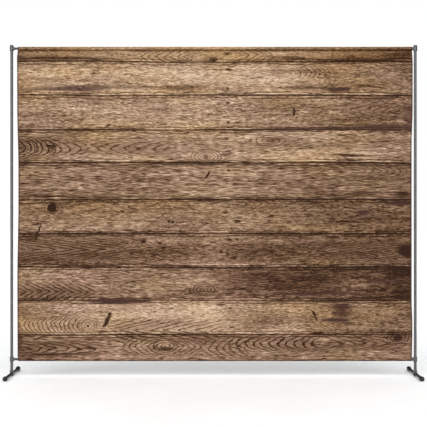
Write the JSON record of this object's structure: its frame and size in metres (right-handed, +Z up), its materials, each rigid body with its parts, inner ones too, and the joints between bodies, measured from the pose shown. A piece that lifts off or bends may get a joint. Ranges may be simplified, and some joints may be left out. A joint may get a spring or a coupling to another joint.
{
  "type": "backdrop panel",
  "caption": "Free-standing photo backdrop: plank-print cloth held between telescopic top and bottom bars on sectional uprights with turning foot bars.",
  "frame": {"origin": "on the floor, midway between the uprights, in the plane of the panel", "axes": "+X to the right along the panel as seen from the printed side, -Y out of the printed front, +Z up"},
  "size_m": [3.1532, 0.5, 2.555],
  "materials": {
    "tube_steel": "satin gunmetal grey powder coat",
    "arm_steel": "satin dark grey powder coat",
    "connector": "semi-gloss dark grey enamel on a cast fitting",
    "foot_black": "gloss black powder coat",
    "rubber": "smooth black rubber",
    "knob": "fine-grained black nylon",
    "nylon": "plain dark nylon",
    "zinc": "bright zinc plate",
    "printed_cloth": "matte woven polyester with a brown weathered plank print"
  },
  "bodies": {
    "centre_span": {"centre_tube_top": "tube_steel", "centre_tube_bottom": "tube_steel", "guide_rings": "nylon", "backdrop_cloth": "printed_cloth", "top_pole_pocket": "printed_cloth", "bottom_pole_pocket": "printed_cloth"},
    "left_frame": {"upright_lower_left": "tube_steel", "upright_middle_left": "tube_steel", "upright_upper_left": "tube_steel", "spigot_lower_left": "zinc", "spigot_upper_left": "zinc", "snap_spring_lower_left": "zinc", "snap_spring_upper_left": "zinc", "top_connector_left": "connector", "bottom_connector_left": "connector", "top_arm_left": "arm_steel", "bottom_arm_left": "arm_steel", "top_sleeve_left": "tube_steel", "bottom_sleeve_left": "tube_steel", "arm_bushes_left": "nylon", "slide_bushes_left": "nylon"},
    "left_foot": {"foot_socket_left": "connector", "foot_tube_left": "foot_black", "foot_pad_left": "rubber", "foot_bolt_left": "zinc", "rubber_ends_left": "rubber"},
    "top_thumbscrew_left": {"top_screw_left": "zinc", "top_knob_left": "knob"},
    "bottom_thumbscrew_left": {"bottom_screw_left": "zinc", "bottom_knob_left": "knob"},
    "lower_button_left": {"snap_button_lower_left": "zinc"},
    "upper_button_left": {"snap_button_upper_left": "zinc"},
    "right_frame": {"upright_lower_right": "tube_steel", "upright_middle_right": "tube_steel", "upright_upper_right": "tube_steel", "spigot_lower_right": "zinc", "spigot_upper_right": "zinc", "snap_spring_lower_right": "zinc", "snap_spring_upper_right": "zinc", "top_connector_right": "connector", "bottom_connector_right": "connector", "top_arm_right": "arm_steel", "bottom_arm_right": "arm_steel", "top_sleeve_right": "tube_steel", "bottom_sleeve_right": "tube_steel", "arm_bushes_right": "nylon", "slide_bushes_right": "nylon"},
    "right_foot": {"foot_socket_right": "connector", "foot_tube_right": "foot_black", "foot_pad_right": "rubber", "foot_bolt_right": "zinc", "rubber_ends_right": "rubber"},
    "top_thumbscrew_right": {"top_screw_right": "zinc", "top_knob_right": "knob"},
    "bottom_thumbscrew_right": {"bottom_screw_right": "zinc", "bottom_knob_right": "knob"},
    "lower_button_right": {"snap_button_lower_right": "zinc"},
    "upper_button_right": {"snap_button_upper_right": "zinc"}
  },
  "joints": [
    {"name": "bar_telescope_left", "type": "slide", "parent": "centre_span", "child": "left_frame", "axis": [1, 0, 0], "range_m": [0, 0.44], "deforming": ["backdrop_cloth", "top_pole_pocket", "bottom_pole_pocket"]},
    {"name": "bar_telescope_right", "type": "slide", "parent": "centre_span", "child": "right_frame", "axis": [-1, 0, 0], "range_m": [0, 0.44]},
    {"name": "foot_swivel_left", "type": "hinge", "parent": "left_frame", "child": "left_foot", "pos_m": [-1.558, 0, 0.06], "axis": [0, 0, 1], "range_deg": [-90, 90]},
    {"name": "foot_swivel_right", "type": "hinge", "parent": "right_frame", "child": "right_foot", "pos_m": [1.558, 0, 0.06], "axis": [0, 0, 1], "range_deg": [-90, 90]},
    {"name": "snap_button_lower_left", "type": "slide", "parent": "left_frame", "child": "lower_button_left", "axis": [0, -1, 0], "range_m": [0, 0.0035], "stiffness_N_per_m": 400, "springref_m": -0.002, "deforming": ["snap_spring_lower_left"]},
    {"name": "snap_button_upper_left", "type": "slide", "parent": "left_frame", "child": "upper_button_left", "axis": [0, -1, 0], "range_m": [0, 0.0035], "stiffness_N_per_m": 400, "springref_m": -0.002, "deforming": ["snap_spring_upper_left"]},
    {"name": "snap_button_lower_right", "type": "slide", "parent": "right_frame", "child": "lower_button_right", "axis": [0, -1, 0], "range_m": [0, 0.0035], "stiffness_N_per_m": 400, "springref_m": -0.002, "deforming": ["snap_spring_lower_right"]},
    {"name": "snap_button_upper_right", "type": "slide", "parent": "right_frame", "child": "upper_button_right", "axis": [0, -1, 0], "range_m": [0, 0.0035], "stiffness_N_per_m": 400, "springref_m": -0.002, "deforming": ["snap_spring_upper_right"]},
    {"name": "thumbscrew_bottom_left", "type": "hinge", "parent": "left_frame", "child": "bottom_thumbscrew_left", "pos_m": [-1.558, 0.02, 0.129], "axis": [0, 1, 0], "range_deg": [-360, 0]},
    {"name": "thumbscrew_top_left", "type": "hinge", "parent": "left_frame", "child": "top_thumbscrew_left", "pos_m": [-1.558, 0.02, 2.527], "axis": [0, 1, 0], "range_deg": [-360, 0]},
    {"name": "thumbscrew_bottom_right", "type": "hinge", "parent": "right_frame", "child": "bottom_thumbscrew_right", "pos_m": [1.558, 0.02, 0.129], "axis": [0, 1, 0], "range_deg": [-360, 0]},
    {"name": "thumbscrew_top_right", "type": "hinge", "parent": "right_frame", "child": "top_thumbscrew_right", "pos_m": [1.558, 0.02, 2.527], "axis": [0, 1, 0], "range_deg": [-360, 0]}
  ],
  "couplings": [
    {"joint": "bar_telescope_right", "follows": "bar_telescope_left", "ratio": 1}
  ]
}
